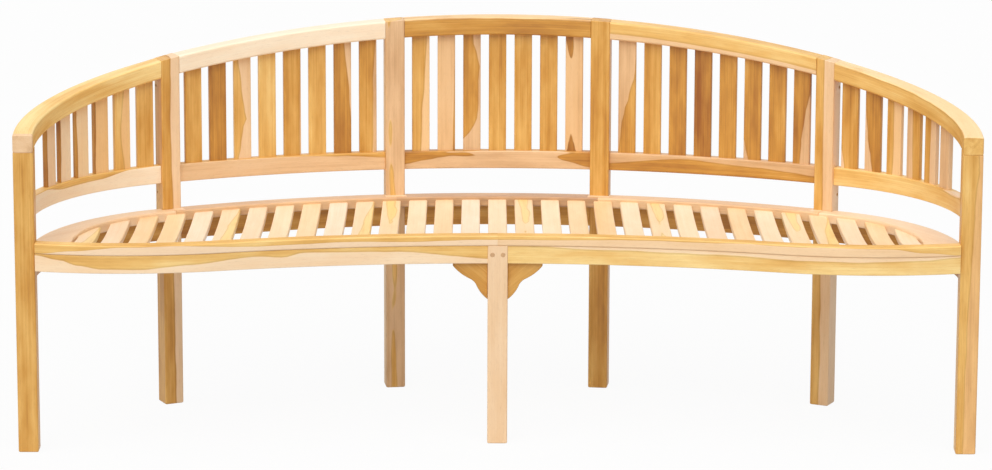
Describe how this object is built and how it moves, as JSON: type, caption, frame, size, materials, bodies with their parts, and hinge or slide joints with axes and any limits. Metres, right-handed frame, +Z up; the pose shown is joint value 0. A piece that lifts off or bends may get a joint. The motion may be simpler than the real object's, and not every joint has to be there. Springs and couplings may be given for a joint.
{
  "type": "curved garden bench",
  "caption": "Curved wooden garden bench whose slatted back bends round into arms, with a slatted seat, a waved front edge, square posts and a centre leg.",
  "frame": {"origin": "on the floor under the centre of the bench's bounding box", "axes": "+X to the sitter's left along the bench (right in the picture), +Y to the back, +Z up"},
  "size_m": [2, 0.6236, 0.827],
  "materials": {
    "post_wood": "bare planed hardwood",
    "rail_wood": "bare planed hardwood",
    "back_slat_wood": "bare planed hardwood",
    "seat_wood": "bare planed hardwood",
    "apron_wood": "bare planed hardwood",
    "peg_wood": "bare planed hardwood",
    "screw_steel": "plain steel"
  },
  "bodies": {
    "root": {"arm_post_left": "post_wood", "arm_post_right": "post_wood", "arm_rail_left": "rail_wood", "arm_rail_right": "rail_wood", "back_apron_center": "apron_wood", "back_apron_end_left": "apron_wood", "back_apron_end_right": "apron_wood", "back_apron_left": "apron_wood", "back_apron_pegs": "peg_wood", "back_apron_right": "apron_wood", "back_board_dowels": "peg_wood", "back_post_inner_left": "post_wood", "back_post_inner_right": "post_wood", "back_post_outer_left": "post_wood", "back_post_outer_right": "post_wood", "back_seat_board_center": "seat_wood", "back_seat_board_end_left": "seat_wood", "back_seat_board_end_right": "seat_wood", "back_seat_board_left": "seat_wood", "back_seat_board_right": "seat_wood", "back_slats_center": "back_slat_wood", "back_slats_end_left": "back_slat_wood", "back_slats_end_right": "back_slat_wood", "back_slats_left": "back_slat_wood", "back_slats_right": "back_slat_wood", "bracket_dowels": "peg_wood", "center_leg_pegs": "peg_wood", "front_apron_left": "apron_wood", "front_apron_right": "apron_wood", "front_board_dowels": "peg_wood", "front_center_leg": "post_wood", "front_seat_board_left": "seat_wood", "front_seat_board_right": "seat_wood", "leg_bracket_left": "apron_wood", "leg_bracket_right": "apron_wood", "lower_rail_center": "rail_wood", "lower_rail_end_left": "rail_wood", "lower_rail_end_right": "rail_wood", "lower_rail_left": "rail_wood", "lower_rail_pegs": "peg_wood", "lower_rail_right": "rail_wood", "outer_post_screws": "screw_steel", "seat_bearer_center": "apron_wood", "seat_slats_center": "seat_wood", "seat_slats_end_left": "seat_wood", "seat_slats_end_right": "seat_wood", "seat_slats_left": "seat_wood", "seat_slats_right": "seat_wood", "top_rail_center": "rail_wood", "top_rail_left": "rail_wood", "top_rail_pegs": "peg_wood", "top_rail_right": "rail_wood"}
  },
  "joints": []
}
